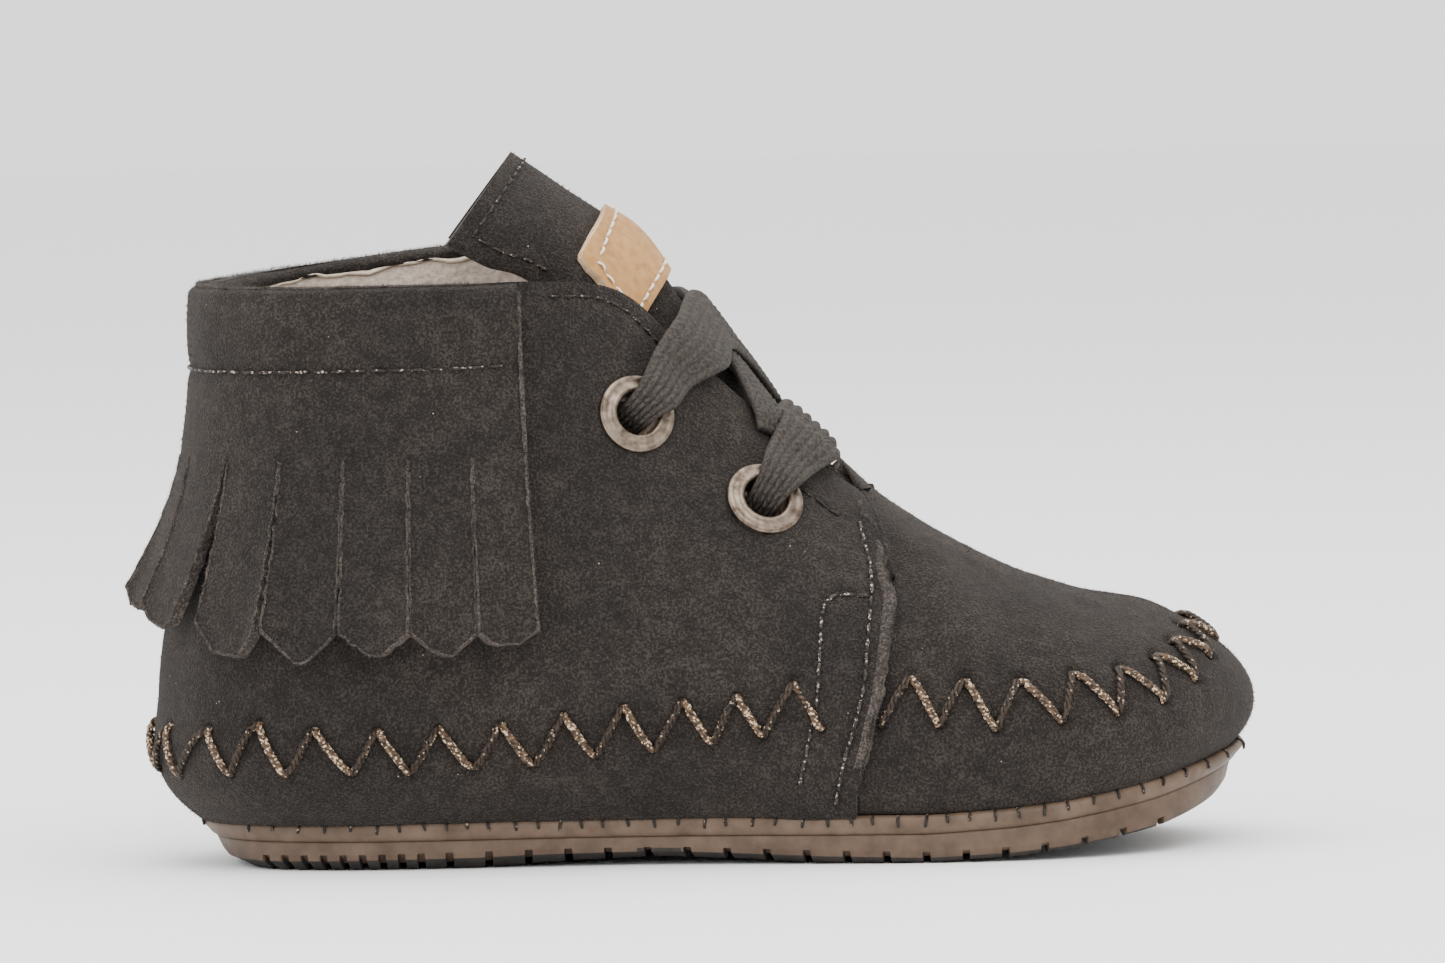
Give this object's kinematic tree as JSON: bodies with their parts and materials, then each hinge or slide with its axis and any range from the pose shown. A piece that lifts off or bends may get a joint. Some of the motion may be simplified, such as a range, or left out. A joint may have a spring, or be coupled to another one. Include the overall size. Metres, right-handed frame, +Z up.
{
  "type": "baby shoe",
  "caption": "Ankle-high soft suede bootie for a baby, with a fringed cuff round the ankle, a laced throat, a thin flexible sole and an open collar.",
  "frame": {"origin": "centre of the shoe's box in plan, on the ground under the sole", "axes": "+X to the toe, +Y to the inner side of the foot, +Z up"},
  "size_m": [0.1396, 0.0582, 0.087],
  "materials": {
    "outsole_rubber": "matt",
    "rand_leather": "matt, lightly waxed",
    "insole_lining": "soft brushed",
    "suede": "napped suede",
    "label_leather": "smooth, satin",
    "lace_braid": "flat braid",
    "eyelet_metal": "aged, satin"
  },
  "bodies": {
    "root": {"outsole": "outsole_rubber", "rand": "rand_leather", "insole": "insole_lining", "upper": "suede", "tongue": "suede", "fringed_cuff": "suede", "tongue_label": "label_leather", "lace_bar": "lace_braid", "lace_crossing": "lace_braid", "eyelet_outer_low": "eyelet_metal", "eyelet_outer_high": "eyelet_metal", "eyelet_inner_low": "eyelet_metal", "eyelet_inner_high": "eyelet_metal"}
  },
  "joints": []
}
